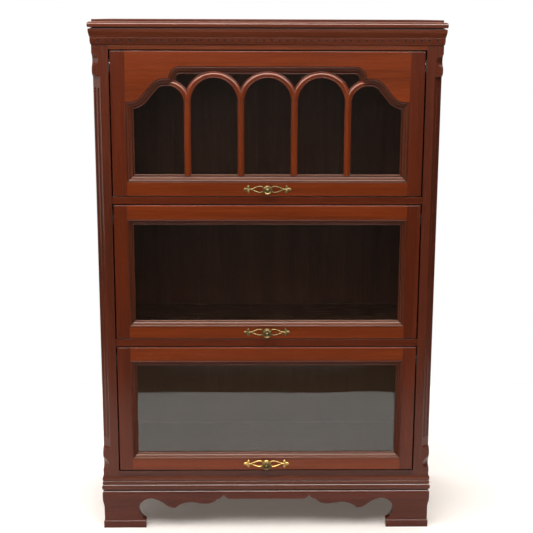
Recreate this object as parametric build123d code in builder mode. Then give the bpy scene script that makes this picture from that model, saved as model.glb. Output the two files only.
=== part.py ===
"""Barrister bookcase: three glazed compartments whose doors lift up and slide back.

X runs across the case, the doors face -Y, and Z is up. The origin is the centre of the
footprint at floor level. All lengths are in millimetres.
"""
from build123d import *

import os
from collections import namedtuple
from math import asin, cos, degrees, radians, sin, sqrt

os.makedirs("parts", exist_ok=True)

# ---------------------------------------------------------------- driving dimensions
HEIGHT = 1322
HALF_WIDTH = 428.5        # from the centre to a post's side face
FRONT = -180              # the posts' front faces
BACK = 200                # the back of the case

BASE_TOP = 106            # the base frame carries the case here
BASE_MOULDING_TOP = 145.5
LOWEST_SILL = 160         # the top of the bottom rail
HEAD_TOP = 1302           # the case ends here, under the top board
DENTIL_BOTTOM = 1262
DENTIL_TOP = 1275

POST_WIDTH = 40.5
POST_DEPTH = 45
SIDE_THICKNESS = 19
BACK_THICKNESS = 8
BACK_INSET = 4
RAIL_HEIGHT = 18.5
RAIL_DEPTH = 20
RAIL_RECESS = 2           # the two rails between the doors stand back from the posts

DOOR_FACE = FRONT + 1
DOOR_THICKNESS = 22
DOOR_SIDE_GAP = 3
GAP_BELOW_DOOR = 2
GAP_ABOVE_DOOR = 3
TENON_LENGTH = 15
TENON_THICKNESS = 8
ARRIS = 1.5               # rounding on the doors' outer edges

GLASS_DEPTH = 10          # from the door's face to the front of the glass
GLASS_THICKNESS = 3
GLASS_CLEARANCE = 1
BEAD_DEPTH = 8.5
BEAD_WIDTH = 10

PIVOT_BELOW_TOP = 30
PIN_RADIUS = 3
PIN_BORE_RADIUS = 3.05
PIN_IN_STILE = 16
GLIDE_REACH_IN_CASE = 52  # how far the raised door's free edge stays out of the case

PLATE_THICKNESS = 2
PULL_ABOVE_DOOR_EDGE = 17

# ---------------------------------------------------------------- worked-out places
OPENING_HALF = HALF_WIDTH - POST_WIDTH
SIDE_OUTSIDE = HALF_WIDTH - 1
SIDE_INSIDE = SIDE_OUTSIDE - SIDE_THICKNESS
POST_BACK = FRONT + POST_DEPTH
BACK_PANEL_FRONT = BACK - BACK_INSET - BACK_THICKNESS
DOOR_HALF = OPENING_HALF - DOOR_SIDE_GAP
DOOR_BACK = DOOR_FACE + DOOR_THICKNESS
PIVOT_Y = DOOR_FACE + DOOR_THICKNESS / 2
GLASS_FRONT = DOOR_FACE + GLASS_DEPTH
GLASS_BACK = GLASS_FRONT + GLASS_THICKNESS

Door = namedtuple("Door", "name sill bottom top ceiling pivot travel stile top_rail bottom_rail sticking")


def stack_of_doors():
    """The three doors from the floor up, each on the rail over the one below."""
    sizes = (
        # name, height, stile, top rail, bottom rail, width of the sticking round the glass
        ("bottom", 336, 34, 36, 32, 15),
        ("middle", 346.5, 34, 36, 32, 15),
        ("top", 356, 36, 37, 34, 19),
    )
    doors = []
    sill = LOWEST_SILL
    for name, height, stile, top_rail, bottom_rail, sticking in sizes:
        bottom = sill + GAP_BELOW_DOOR
        top = bottom + height
        ceiling = top + GAP_ABOVE_DOOR
        travel = height - PIVOT_BELOW_TOP - GLIDE_REACH_IN_CASE
        doors.append(Door(name, sill, bottom, top, ceiling, top - PIVOT_BELOW_TOP, travel,
                          stile, top_rail, bottom_rail, sticking))
        sill = ceiling + RAIL_HEIGHT
    return doors


DOORS = stack_of_doors()
TOP_DOOR = DOORS[-1]


# ---------------------------------------------------------------- helpers
def block(x, y, z, mode=Mode.ADD):
    """A box between two limits on each axis, in the open part."""
    with Locations(((x[0] + x[1]) / 2, (y[0] + y[1]) / 2, (z[0] + z[1]) / 2)):
        Box(abs(x[1] - x[0]), abs(y[1] - y[0]), abs(z[1] - z[0]), mode=mode)


def save(piece, name):
    """Label a finished piece and write it to its own file."""
    piece.part.label = name
    export_step(piece.part, f"parts/{name}.step")


def facing_front(y):
    """The upright plane at depth y. Its own X and Y are the case's X and Z."""
    return Plane.XZ.offset(-y)


def moulding_plane(side):
    """The section plane of a run of moulding: its own X points out of the case face.

    side 0 is the front, -1 the left end and 1 the right end.
    """
    if side == 0:
        return Plane(origin=(0, FRONT, 0), x_dir=(0, -1, 0), z_dir=(-1, 0, 0))
    return Plane(origin=(side * HALF_WIDTH, 0, 0), x_dir=(side, 0, 0), z_dir=(0, -side, 0))


MITRE_REACH = 60


def mitre_waste(side, keeps_front):
    """The tall prism that cuts a run to 45 degrees at a front corner of the case."""
    corner = Vector(side * HALF_WIDTH, FRONT)
    along = Vector(side, -1) * MITRE_REACH
    waste = Vector(side, 1) * MITRE_REACH * (1 if keeps_front else -1)
    with BuildPart() as wedge:
        with BuildSketch():
            with BuildLine():
                Polyline(corner + along, corner - along, corner + waste, close=True)
            make_face()
        extrude(amount=HEIGHT)
    return wedge.part


LEFT_WASTE = mitre_waste(-1, True)
RIGHT_WASTE = mitre_waste(1, True)
RETURN_WASTE = {side: mitre_waste(side, False) for side in (-1, 1)}
RUN = HALF_WIDTH + MITRE_REACH / 2


# ---------------------------------------------------------------- posts
CHAMFER = 20 / sqrt(2)         # depth of the corner chamfer, measured on the diagonal
SCOOP = 11.3                   # depth of the stop's hollow, on the diagonal
BULGE = 0.7
FLUTE_RADIUS = 5
FLUTE_DEPTH = 2.6
FLUTE_SPACING = 12.4
FLUTE_ENDS = (254, 1155)
SLOT_DEPTH = 9
SLOT_FRONT = FRONT + 5.6
SLOT_BELOW_PIVOT = 20.4
SLOT_ABOVE_PIVOT = 8.4


def post(side):
    """A corner post: stop-chamfered and fluted outside, slotted inside for the glides."""
    inward = Vector(-side, 1, 0)
    corner = Vector(side * HALF_WIDTH, FRONT, 0)
    diagonal = Plane(origin=corner, x_dir=inward, z_dir=(inward.Y, -inward.X, 0))
    with BuildPart() as piece:
        block((side * OPENING_HALF, side * HALF_WIDTH), (FRONT, POST_BACK), (BASE_TOP, HEAD_TOP))
        with BuildSketch(diagonal):
            with BuildLine():
                Line((-6, 166), (0, 166))
                ThreePointArc((0, 166), (7.6, 169.4), (SCOOP, 177))
                Spline((SCOOP, 177), (BULGE, 208), tangents=((0, 1), (0, 1)))
                ThreePointArc((BULGE, 208), (2.8, 217), (7.5, 222.5))
                Line((7.5, 222.5), (CHAMFER, 225))
                Line((CHAMFER, 225), (CHAMFER, 1185.5))
                Line((CHAMFER, 1185.5), (7.5, 1188))
                ThreePointArc((7.5, 1188), (2.8, 1193.5), (BULGE, 1202))
                Spline((BULGE, 1202), (SCOOP, 1223), tangents=((0, 1), (0, 1)))
                ThreePointArc((SCOOP, 1223), (7.6, 1236), (0, 1241))
                Line((0, 1241), (-6, 1241))
                Line((-6, 1241), (-6, 166))
            make_face()
        extrude(amount=30, both=True, mode=Mode.SUBTRACT)
        axis = corner + inward.normalized() * (CHAMFER - FLUTE_DEPTH)
        for sideways in (-FLUTE_SPACING / 2, FLUTE_SPACING / 2):
            line = axis + Vector(inward.Y, -inward.X, 0).normalized() * sideways
            with Locations((line.X, line.Y, sum(FLUTE_ENDS) / 2)):
                Cylinder(FLUTE_RADIUS, FLUTE_ENDS[1] - FLUTE_ENDS[0], mode=Mode.SUBTRACT)
            with Locations(*[(line.X, line.Y, end) for end in FLUTE_ENDS]):
                Sphere(FLUTE_RADIUS, mode=Mode.SUBTRACT)
        for door in DOORS:
            block((side * OPENING_HALF, side * (OPENING_HALF + SLOT_DEPTH)), (SLOT_FRONT, POST_BACK),
                  (door.pivot - SLOT_BELOW_PIVOT, door.pivot + SLOT_ABOVE_PIVOT), mode=Mode.SUBTRACT)
    return piece


save(post(-1), "post_left")
save(post(1), "post_right")


# ---------------------------------------------------------------- case panels and rails
def side_panel(side):
    """A solid end panel behind a post."""
    with BuildPart() as piece:
        block((side * SIDE_INSIDE, side * SIDE_OUTSIDE), (POST_BACK, BACK), (BASE_TOP, HEAD_TOP))
    return piece


save(side_panel(-1), "side_panel_left")
save(side_panel(1), "side_panel_right")

with BuildPart() as back_panel:
    block((-SIDE_INSIDE, SIDE_INSIDE), (BACK_PANEL_FRONT, BACK_PANEL_FRONT + BACK_THICKNESS),
          (BASE_TOP, HEAD_TOP))
save(back_panel, "back_panel")


def deck(top, rail_back):
    """A full-depth horizontal panel, notched round the posts, behind a rail."""
    levels = (top - RAIL_HEIGHT, top)
    with BuildPart() as piece:
        block((-OPENING_HALF, OPENING_HALF), (rail_back, POST_BACK), levels)
        block((-SIDE_INSIDE, SIDE_INSIDE), (POST_BACK, BACK_PANEL_FRONT), levels)
    return piece


def rail(bottom, top, recess):
    """A rail across the front between the posts."""
    with BuildPart() as piece:
        block((-OPENING_HALF, OPENING_HALF), (FRONT + recess, FRONT + recess + RAIL_DEPTH),
              (bottom, top))
    return piece


bottom_door, middle_door, top_door = DOORS
save(deck(LOWEST_SILL, FRONT + RAIL_DEPTH), "bottom_panel")
save(deck(middle_door.sill, FRONT + RAIL_RECESS + RAIL_DEPTH), "shelf_lower")
save(deck(top_door.sill, FRONT + RAIL_RECESS + RAIL_DEPTH), "shelf_upper")
save(deck(top_door.ceiling + RAIL_HEIGHT, FRONT + RAIL_DEPTH), "top_panel")
save(rail(BASE_TOP, LOWEST_SILL, 0), "rail_bottom")
save(rail(bottom_door.ceiling, middle_door.sill, RAIL_RECESS), "rail_lower")
save(rail(middle_door.ceiling, top_door.sill, RAIL_RECESS), "rail_upper")
save(rail(top_door.ceiling, HEAD_TOP, 0), "rail_top")


# ---------------------------------------------------------------- door guides
GLIDE_FRONT = PIVOT_Y - 6
GLIDE_BACK = PIVOT_Y + 18
RUNNER_BELOW_PIVOT = 34
RUNNER_BACK = 150
CLEAT_HALF = 370
CLEAT_START = 20.5        # behind the pivot, with the door fully in
CLEAT_END = 40
HEEL_CLEARANCE = 0.4

# Six runners and three cleats: each door's glides run in two runners, and its heel goes
# under one cleat.
with BuildPart() as door_guides:
    for door in DOORS:
        groove_end = GLIDE_BACK + door.travel + 0.5
        for side in (-1, 1):
            block((side * OPENING_HALF, side * SIDE_INSIDE), (POST_BACK, RUNNER_BACK),
                  (door.pivot - RUNNER_BELOW_PIVOT, door.ceiling))
            block((side * OPENING_HALF, side * (OPENING_HALF + SLOT_DEPTH)), (POST_BACK, groove_end),
                  (door.pivot - SLOT_BELOW_PIVOT, door.pivot + SLOT_ABOVE_PIVOT), mode=Mode.SUBTRACT)
        pivot_when_in = PIVOT_Y + door.travel
        block((-CLEAT_HALF, CLEAT_HALF), (pivot_when_in + CLEAT_START, pivot_when_in + CLEAT_END),
              (door.pivot + DOOR_THICKNESS / 2 + HEEL_CLEARANCE, door.ceiling))
save(door_guides, "door_guides")


# ---------------------------------------------------------------- top board and cornice
NOSE = 8                  # the top board's rounded edge, past the case faces
NOSE_BOTTOM = 1303
NOSE_TOP = 1316.5
NOSE_UPPER_RADIUS = 6
NOSE_LOWER_RADIUS = 3
TOP_FILLET_SETBACK = 2

with BuildPart() as top_board:
    block((-HALF_WIDTH - NOSE, HALF_WIDTH + NOSE), (FRONT - NOSE, BACK), (NOSE_BOTTOM, NOSE_TOP))
    outer = [edge for edge in top_board.edges().filter_by(GeomType.LINE)
             if edge.center().Y < BACK - 1 and abs(edge.tangent_at(0.5).Z) < 0.5]
    fillet([edge for edge in outer if edge.center().Z > NOSE_TOP - 1], radius=NOSE_UPPER_RADIUS)
    outer = [edge for edge in top_board.edges().filter_by(GeomType.LINE)
             if edge.center().Y < BACK - 1 and abs(edge.tangent_at(0.5).Z) < 0.5]
    fillet([edge for edge in outer if edge.center().Z < NOSE_BOTTOM + 1], radius=NOSE_LOWER_RADIUS)
    inset = HALF_WIDTH - TOP_FILLET_SETBACK
    block((-inset, inset), (FRONT + TOP_FILLET_SETBACK, BACK), (HEAD_TOP, HEIGHT))
save(top_board, "top_board")


def cornice_section():
    """The cornice: a shadow gap, a fillet, a long slope drawn in to its foot and a lower fillet."""
    with BuildSketch() as section:
        with BuildLine():
            Line((0, DENTIL_TOP), (3, DENTIL_TOP))
            Line((3, DENTIL_TOP), (3, 1279.5))
            Line((3, 1279.5), (2.6, 1279.5))
            Line((2.6, 1279.5), (2.6, 1280.4))
            Line((2.6, 1280.4), (3.4, 1280.4))
            ThreePointArc((3.4, 1280.4), (4.3, 1283.8), (4.8, 1287.2))
            Line((4.8, 1287.2), (5.2, 1287.2))
            ThreePointArc((5.2, 1287.2), (5.7, 1290), (6.3, 1292.6))
            Line((6.3, 1292.6), (6.3, 1299.8))
            Line((6.3, 1299.8), (1.5, 1299.8))
            Line((1.5, 1299.8), (1.5, HEAD_TOP))
            Line((1.5, HEAD_TOP), (0, HEAD_TOP))
            Line((0, HEAD_TOP), (0, DENTIL_TOP))
        make_face()
    return section.sketch


def base_moulding_section():
    """The moulding over the base: two flat beads over a nosing, with a quirk between each."""
    with BuildSketch() as section:
        with BuildLine():
            Line((0, BASE_TOP + 2.5), (3.7, BASE_TOP + 2.5))
            Line((3.7, BASE_TOP + 2.5), (4.5, 114.5))
            ThreePointArc((4.5, 114.5), (3.9, 119.2), (1.6, 122.2))
            Line((1.6, 122.2), (1.1, 122.2))
            Line((1.1, 122.2), (1.1, 124.4))
            Line((1.1, 124.4), (2.9, 124.4))
            ThreePointArc((2.9, 124.4), (3.1, 128.6), (1.8, 131.4))
            Line((1.8, 131.4), (1.0, 131.4))
            Line((1.0, 131.4), (1.0, 133.2))
            Line((1.0, 133.2), (2.3, 133.2))
            ThreePointArc((2.3, 133.2), (2.9, 138.6), (1.2, BASE_MOULDING_TOP))
            Line((1.2, BASE_MOULDING_TOP), (0, BASE_MOULDING_TOP))
            Line((0, BASE_MOULDING_TOP), (0, BASE_TOP + 2.5))
        make_face()
    return section.sketch


def front_run(section):
    """A length of moulding across the front, mitred at both ends."""
    with BuildPart() as piece:
        with BuildSketch(moulding_plane(0)):
            add(section)
        extrude(amount=RUN, both=True)
        add(LEFT_WASTE, mode=Mode.SUBTRACT)
        add(RIGHT_WASTE, mode=Mode.SUBTRACT)
    return piece


def return_runs(section):
    """The two lengths that return a moulding along the ends, mitred at the front."""
    with BuildPart() as piece:
        for side in (-1, 1):
            with BuildSketch(moulding_plane(side)):
                add(section)
            extrude(amount=RUN, both=True)
            add(RETURN_WASTE[side], mode=Mode.SUBTRACT)
        block((-RUN, RUN), (BACK, RUN), (0, HEIGHT), mode=Mode.SUBTRACT)
        block((-RUN, RUN), (-RUN, FRONT - MITRE_REACH / 4), (0, HEIGHT), mode=Mode.SUBTRACT)
    return piece


save(front_run(cornice_section()), "cornice_front")
save(return_runs(cornice_section()), "cornice_returns")
save(front_run(base_moulding_section()), "base_moulding_front")
save(return_runs(base_moulding_section()), "base_moulding_returns")

TOOTH_WIDTH = 13.6
TOOTH_BOTTOM = DENTIL_BOTTOM + 6.4
TOOTH_PROUD = 2.9
STRIP_PROUD = 0.4
BAND_PROUD = 2.1          # the plain band under the teeth
BAND_BOTTOM = DENTIL_BOTTOM + 1.2
FRONT_TEETH = 45
SIDE_TEETH = 20


def tooth_centres(low, high, count):
    """Evenly spaced teeth, the first and the last ending at the given limits."""
    pitch = (high - low - TOOTH_WIDTH) / (count - 1)
    return [low + TOOTH_WIDTH / 2 + pitch * index for index in range(count)]


with BuildPart() as dentil_front:
    block((-RUN, RUN), (FRONT - STRIP_PROUD, FRONT), (DENTIL_BOTTOM, DENTIL_TOP))
    block((-RUN, RUN), (FRONT - BAND_PROUD, FRONT), (BAND_BOTTOM, TOOTH_BOTTOM))
    for centre in tooth_centres(-HALF_WIDTH, HALF_WIDTH, FRONT_TEETH):
        half = TOOTH_WIDTH / 2
        block((centre - half, centre + half), (FRONT - TOOTH_PROUD, FRONT), (TOOTH_BOTTOM, DENTIL_TOP))
    for side in (-1, 1):
        block((side * (HALF_WIDTH - 1), side * (HALF_WIDTH + TOOTH_PROUD)), (FRONT - TOOTH_PROUD, FRONT),
              (TOOTH_BOTTOM, DENTIL_TOP))
    add(LEFT_WASTE, mode=Mode.SUBTRACT)
    add(RIGHT_WASTE, mode=Mode.SUBTRACT)
save(dentil_front, "dentil_front")

with BuildPart() as dentil_returns:
    for side in (-1, 1):
        face = side * HALF_WIDTH
        block((face, face + side * STRIP_PROUD), (FRONT - STRIP_PROUD, BACK), (DENTIL_BOTTOM, DENTIL_TOP))
        block((face, face + side * BAND_PROUD), (FRONT - BAND_PROUD, BACK), (BAND_BOTTOM, TOOTH_BOTTOM))
        for centre in tooth_centres(FRONT, BACK, SIDE_TEETH):
            half = TOOTH_WIDTH / 2
            block((face, face + side * TOOTH_PROUD), (centre - half, centre + half),
                  (TOOTH_BOTTOM, DENTIL_TOP))
        block((face, face + side * TOOTH_PROUD), (FRONT - TOOTH_PROUD, FRONT + 1),
              (TOOTH_BOTTOM, DENTIL_TOP))
        add(RETURN_WASTE[side], mode=Mode.SUBTRACT)
save(dentil_returns, "dentil_returns")


# ---------------------------------------------------------------- base frame
BASE_THICKNESS = 20
EDGE_ROUND = 8            # rounding of the base's top edge
FOOT_LEDGE = 20
FOOT_INNER = 319          # from the centre to the inner end of a front foot
APRON = 82                # height of the plain middle of the front board's lower edge
SIDE_FOOT = 96            # length of a foot along the end of the case
SIDE_CENTRE = (FRONT + BACK) / 2


def base_section():
    """A base board: a plain face over a thicker foot pad, with a moulded top edge."""
    with BuildSketch() as section:
        with BuildLine():
            Line((-BASE_THICKNESS, 0), (2.4, 0))
            Line((2.4, 0), (2.4, FOOT_LEDGE - 3.5))
            ThreePointArc((2.4, FOOT_LEDGE - 3.5), (1.8, FOOT_LEDGE - 1.2), (0.3, FOOT_LEDGE))
            Line((0.3, FOOT_LEDGE), (0.3, 56))
            Spline((0.3, 56), (3.9, 84), tangents=((0, 1), (0, 1)))
            Line((3.9, 84), (3.9, BASE_TOP - EDGE_ROUND))
            CenterArc((3.9 - EDGE_ROUND, BASE_TOP - EDGE_ROUND), EDGE_ROUND, 0, 90)
            Line((3.9 - EDGE_ROUND, BASE_TOP), (-BASE_THICKNESS, BASE_TOP))
            Line((-BASE_THICKNESS, BASE_TOP), (-BASE_THICKNESS, 0))
        make_face()
    return section.sketch


def front_cutout():
    """The space under the front board: scallops, lobes and cusps, the same both sides."""
    with BuildSketch() as cutout:
        with BuildLine():
            Line((0, -1), (-FOOT_INNER, -1))
            Line((-FOOT_INNER, -1), (-FOOT_INNER, FOOT_LEDGE + 1))
            ThreePointArc((-FOOT_INNER, FOOT_LEDGE + 1), (-337, 57), (-303, 84))
            ThreePointArc((-303, 84), (-284, 77.5), (-266, 64))
            ThreePointArc((-266, 64), (-255, 57.5), (-240, 55))
            Spline((-240, 55), (-226, 66), (-199, 72), (-175, 68.3), (-160, 67.2), (-143, 71), (-131, 81))
            ThreePointArc((-131, 81), (-119.5, 85.5), (-112.5, 94))
            ThreePointArc((-112.5, 94), (-106.5, 85.5), (-96, APRON))
            Line((-96, APRON), (0, APRON))
            Line((0, APRON), (0, -1))
        make_face()
        mirror(about=Plane.YZ)
    return cutout.sketch


def side_cutout():
    """The simpler space under an end board, centred on the depth of the case."""
    foot = (BACK - FRONT) / 2 - SIDE_FOOT
    with BuildSketch() as cutout:
        with BuildLine():
            Line((0, -1), (-foot, -1))
            Line((-foot, -1), (-foot, FOOT_LEDGE + 1))
            ThreePointArc((-foot, FOOT_LEDGE + 1), (-foot - 17, 52), (-foot + 12, 76))
            ThreePointArc((-foot + 12, 76), (-foot + 28, 71), (-foot + 40, 58))
            ThreePointArc((-foot + 40, 58), (-foot + 52, 70), (0, 74))
            Line((0, 74), (0, -1))
        make_face()
        mirror(about=Plane.YZ)
    return cutout.sketch


with BuildPart() as base_front:
    with BuildSketch(moulding_plane(0)):
        add(base_section())
    extrude(amount=RUN, both=True)
    add(LEFT_WASTE, mode=Mode.SUBTRACT)
    add(RIGHT_WASTE, mode=Mode.SUBTRACT)
    with BuildSketch(facing_front(FRONT)):
        add(front_cutout())
    extrude(amount=MITRE_REACH, both=True, mode=Mode.SUBTRACT)
save(base_front, "base_front")


def base_end(side):
    """An end board of the base, mitred to the front board."""
    with BuildPart() as piece:
        with BuildSketch(moulding_plane(side)):
            add(base_section())
        extrude(amount=RUN, both=True)
        add(RETURN_WASTE[side], mode=Mode.SUBTRACT)
        block((-RUN, RUN), (BACK, RUN + 1), (0, HEIGHT), mode=Mode.SUBTRACT)
        block((-RUN, RUN), (-RUN - 1, FRONT - MITRE_REACH / 4), (0, HEIGHT), mode=Mode.SUBTRACT)
        with BuildSketch(Plane(origin=(side * HALF_WIDTH, SIDE_CENTRE, 0), x_dir=(0, 1, 0), z_dir=(1, 0, 0))):
            add(side_cutout())
        extrude(amount=MITRE_REACH, both=True, mode=Mode.SUBTRACT)
    return piece


save(base_end(-1), "base_left")
save(base_end(1), "base_right")

BASE_INSIDE = HALF_WIDTH - BASE_THICKNESS
BACK_BOARD_FRONT = BACK - BASE_THICKNESS
BACK_FOOT = 90
BLOCK_LEG = 42
BLOCK_LEVELS = (2, 100)

with BuildPart() as base_back:
    block((-BASE_INSIDE, BASE_INSIDE), (BACK_BOARD_FRONT, BACK), (0, BASE_TOP))
    clear = BASE_INSIDE - BACK_FOOT
    block((-clear, clear), (BACK_BOARD_FRONT, BACK), (0, 45), mode=Mode.SUBTRACT)
save(base_back, "base_back")

with BuildPart() as base_corner_blocks:
    for side in (-1, 1):
        for y, into in ((FRONT + BASE_THICKNESS, 1), (BACK_BOARD_FRONT, -1)):
            x = side * BASE_INSIDE
            with BuildSketch(Plane.XY.offset(BLOCK_LEVELS[0])):
                with BuildLine():
                    Polyline((x, y), (x - side * BLOCK_LEG, y), (x, y + into * BLOCK_LEG), close=True)
                make_face()
            extrude(amount=BLOCK_LEVELS[1] - BLOCK_LEVELS[0])
save(base_corner_blocks, "base_corner_blocks")


# ---------------------------------------------------------------- door frames
MORTISE_END = 1.5         # wood left between a mortise and the end of its stile


def stile(door, side):
    """An upright of a door: mortised for both rails and bored for the pivot pin."""
    outer = side * DOOR_HALF
    inner = side * (DOOR_HALF - door.stile)
    middle = (PIVOT_Y - TENON_THICKNESS / 2, PIVOT_Y + TENON_THICKNESS / 2)
    with BuildPart() as piece:
        block((outer, inner), (DOOR_FACE, DOOR_BACK), (door.bottom, door.top))
        face_edges = piece.faces().sort_by(Axis.Y)[0].edges()
        fillet([edge for edge in face_edges if abs(edge.center().X - inner) > 1], radius=ARRIS)
        for low, high in tenon_levels(door):
            block((inner, inner + side * TENON_LENGTH), middle, (low, high), mode=Mode.SUBTRACT)
        with Locations((outer - side * PIN_IN_STILE / 2, PIVOT_Y, door.pivot)):
            Cylinder(PIN_RADIUS, PIN_IN_STILE, rotation=(0, 90, 0), mode=Mode.SUBTRACT)
    return piece


def tenon_levels(door):
    """The heights of the bottom and the top rail's tenons."""
    low = (door.bottom + MORTISE_END, door.bottom + door.bottom_rail - MORTISE_END)
    high = (door.top - door.top_rail + MORTISE_END, door.top - MORTISE_END)
    return low, high


def door_rail(door, upper):
    """A rail of a door, with a stub tenon at each end."""
    half = DOOR_HALF - door.stile
    low = door.top - door.top_rail if upper else door.bottom
    high = door.top if upper else door.bottom + door.bottom_rail
    with BuildPart() as piece:
        block((-half, half), (DOOR_FACE, DOOR_BACK), (low, high))
        face_edges = piece.faces().sort_by(Axis.Y)[0].edges().filter_by(Axis.X).sort_by(Axis.Z)
        fillet(face_edges[-1] if upper else face_edges[0], radius=ARRIS)
        tenon = tenon_levels(door)[1 if upper else 0]
        block((-half - TENON_LENGTH, half + TENON_LENGTH),
              (PIVOT_Y - TENON_THICKNESS / 2, PIVOT_Y + TENON_THICKNESS / 2), tenon)
        if not upper:
            with Locations((0, PIVOT_Y, door.bottom + PULL_ABOVE_DOOR_EDGE)):
                Cylinder(SPINDLE_RADIUS, DOOR_THICKNESS, rotation=(90, 0, 0), mode=Mode.SUBTRACT)
        elif door is TOP_DOOR:
            with BuildSketch(facing_front(GLASS_FRONT)):
                with Locations((0, (ARCH_SIDE + low) / 2)):
                    Rectangle(2 * half, low - ARCH_SIDE)
                add(top_door_opening(0), mode=Mode.SUBTRACT)
            extrude(amount=GLASS_DEPTH)
    return piece


# The top door's rail dips to each side of a raised flat arch.
ARCH_SIDE = 1124.5        # where the arch leaves the stiles
ARCH_SHOULDER = 1181
ARCH_CROWN = 1210.5
ARCH_START = -337
ARCH_SLOPE = 50           # degrees, in the straight middle of the S-curve
LOWER_RADIUS = 33
UPPER_RADIUS = 42
CROWN_START = -214
CROWN_CENTRE_Z = ARCH_SHOULDER + 0.5


def top_door_opening(inset):
    """The opening in the top door's frame, drawn in by the width of the sticking.

    The left half runs up the stile, along an S-curve to a shoulder, and by a quarter
    round to the flat crown. The right half mirrors it.
    """
    side_x = -(DOOR_HALF - TOP_DOOR.stile) + inset
    bottom = TOP_DOOR.bottom + TOP_DOOR.bottom_rail + inset
    slope = radians(ARCH_SLOPE)
    both_radii = LOWER_RADIUS + UPPER_RADIUS
    straight = (ARCH_SHOULDER - ARCH_SIDE - both_radii * (1 - cos(slope))) / sin(slope)
    shoulder_x = ARCH_START + both_radii * sin(slope) + straight * cos(slope)
    low_radius, high_radius = LOWER_RADIUS + inset, UPPER_RADIUS - inset
    passed = max(0, side_x - ARCH_START)
    skipped = degrees(asin(passed / low_radius))
    crown_radius = ARCH_CROWN - CROWN_CENTRE_Z - inset
    crown_x = CROWN_START - crown_radius
    with BuildSketch() as opening:
        with BuildLine():
            low = CenterArc((ARCH_START, ARCH_SIDE + LOWER_RADIUS), low_radius,
                            skipped - 90, ARCH_SLOPE - skipped)
            high = CenterArc((shoulder_x, ARCH_SHOULDER - UPPER_RADIUS), high_radius,
                             90 + ARCH_SLOPE, -ARCH_SLOPE)
            Line(low @ 1, high @ 0)
            Polyline(high @ 1, (crown_x, ARCH_SHOULDER - inset), (crown_x, CROWN_CENTRE_Z))
            CenterArc((CROWN_START, CROWN_CENTRE_Z), crown_radius, 180, -90)
            Polyline((CROWN_START, ARCH_CROWN - inset), (0, ARCH_CROWN - inset), (0, bottom))
            if passed:
                Polyline((0, bottom), (side_x, bottom), low @ 0)
            else:
                Polyline((0, bottom), (side_x, bottom), (side_x, ARCH_SIDE - inset), low @ 0)
        make_face()
        mirror(about=Plane.YZ)
    return opening.sketch


def lower_door_opening(door, inset):
    """The plain rectangular opening in a lower door's frame."""
    low = door.bottom + door.bottom_rail + inset
    high = door.top - door.top_rail - inset
    with BuildSketch() as opening:
        with Locations((0, (low + high) / 2)):
            Rectangle(2 * (DOOR_HALF - door.stile - inset), high - low)
    return opening.sketch


STICKING_EDGE = 4         # thickness of the sticking's thin edge, at the glass
STICKING_SLOPE = 8        # width of the fall on the lower doors' sticking


def sticking(door):
    """The moulding round the glass, in front of it, falling towards the glass."""
    if door is TOP_DOOR:
        outer, inner = top_door_opening(0), top_door_opening(door.sticking)
    else:
        outer, inner = lower_door_opening(door, 0), lower_door_opening(door, door.sticking)
    with BuildPart() as piece:
        with BuildSketch(facing_front(GLASS_FRONT)):
            add(outer)
            add(inner, mode=Mode.SUBTRACT)
        extrude(amount=GLASS_DEPTH - 1)
        if door is not TOP_DOOR:
            rim = piece.faces().sort_by(Axis.Y)[0].inner_wires()[0].edges()
            chamfer(rim, length=STICKING_SLOPE, length2=GLASS_DEPTH - STICKING_EDGE)
    return piece


def glass(door):
    """The pane, held between the sticking and the beads."""
    half = DOOR_HALF - door.stile - GLASS_CLEARANCE
    with BuildPart() as piece:
        block((-half, half), (GLASS_FRONT, GLASS_BACK),
              (door.bottom + door.bottom_rail + GLASS_CLEARANCE, door.top - door.top_rail - GLASS_CLEARANCE))
    return piece


def glazing_beads(door):
    """Four square beads behind the pane."""
    half = DOOR_HALF - door.stile
    low, high = door.bottom + door.bottom_rail, door.top - door.top_rail
    depth = (GLASS_BACK, GLASS_BACK + BEAD_DEPTH)
    with BuildPart() as piece:
        for side in (-1, 1):
            block((side * half, side * (half - BEAD_WIDTH)), depth, (low, high))
        for start in (low, high - BEAD_WIDTH):
            block((-half + BEAD_WIDTH + 0.1, half - BEAD_WIDTH - 0.1), depth, (start, start + BEAD_WIDTH))
    return piece


# ---------------------------------------------------------------- fretwork of the top door
BAY = 132                 # width of one arched light
BAR_WIDTH = 16
SPRING = 1125             # where the small arches start
END_ARCH_X = 247.5        # the half arches at the two ends, which run into the shoulders
END_ARCH_SPRING = 1122
FRET_SETBACK = 2          # the bars stand this far behind the door's face


def fret_outline():
    """Four upright bars that branch into three small round arches, and a half arch at each end."""
    radius = BAY / 2 - BAR_WIDTH / 2
    end_radius = END_ARCH_X - 1.5 * BAY - BAR_WIDTH / 2
    arches = [(centre * BAY, SPRING, radius) for centre in (-1, 0, 1)]
    arches += [(side * END_ARCH_X, END_ARCH_SPRING, end_radius) for side in (-1, 1)]
    base = TOP_DOOR.bottom + TOP_DOOR.bottom_rail
    with BuildSketch() as outline:
        for x, z, inner in arches:
            with Locations((x, z)):
                Circle(inner + BAR_WIDTH)
        with Locations(*[(side * (END_ARCH_X + BAY / 2), SPRING) for side in (-1, 1)]):
            Rectangle(BAY, 2 * BAY, mode=Mode.SUBTRACT)
        for x, z, inner in arches:
            with Locations((x, z)):
                Circle(inner, mode=Mode.SUBTRACT)
        with Locations((0, (base + SPRING) / 2)):
            Rectangle(2 * DOOR_HALF, SPRING - base, mode=Mode.SUBTRACT)
        with Locations(*[(x * BAY, (base + SPRING) / 2) for x in (-1.5, -0.5, 0.5, 1.5)]):
            Rectangle(BAR_WIDTH, SPRING - base)
        add(top_door_opening(TOP_DOOR.sticking), mode=Mode.INTERSECT)
    return outline.sketch


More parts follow.
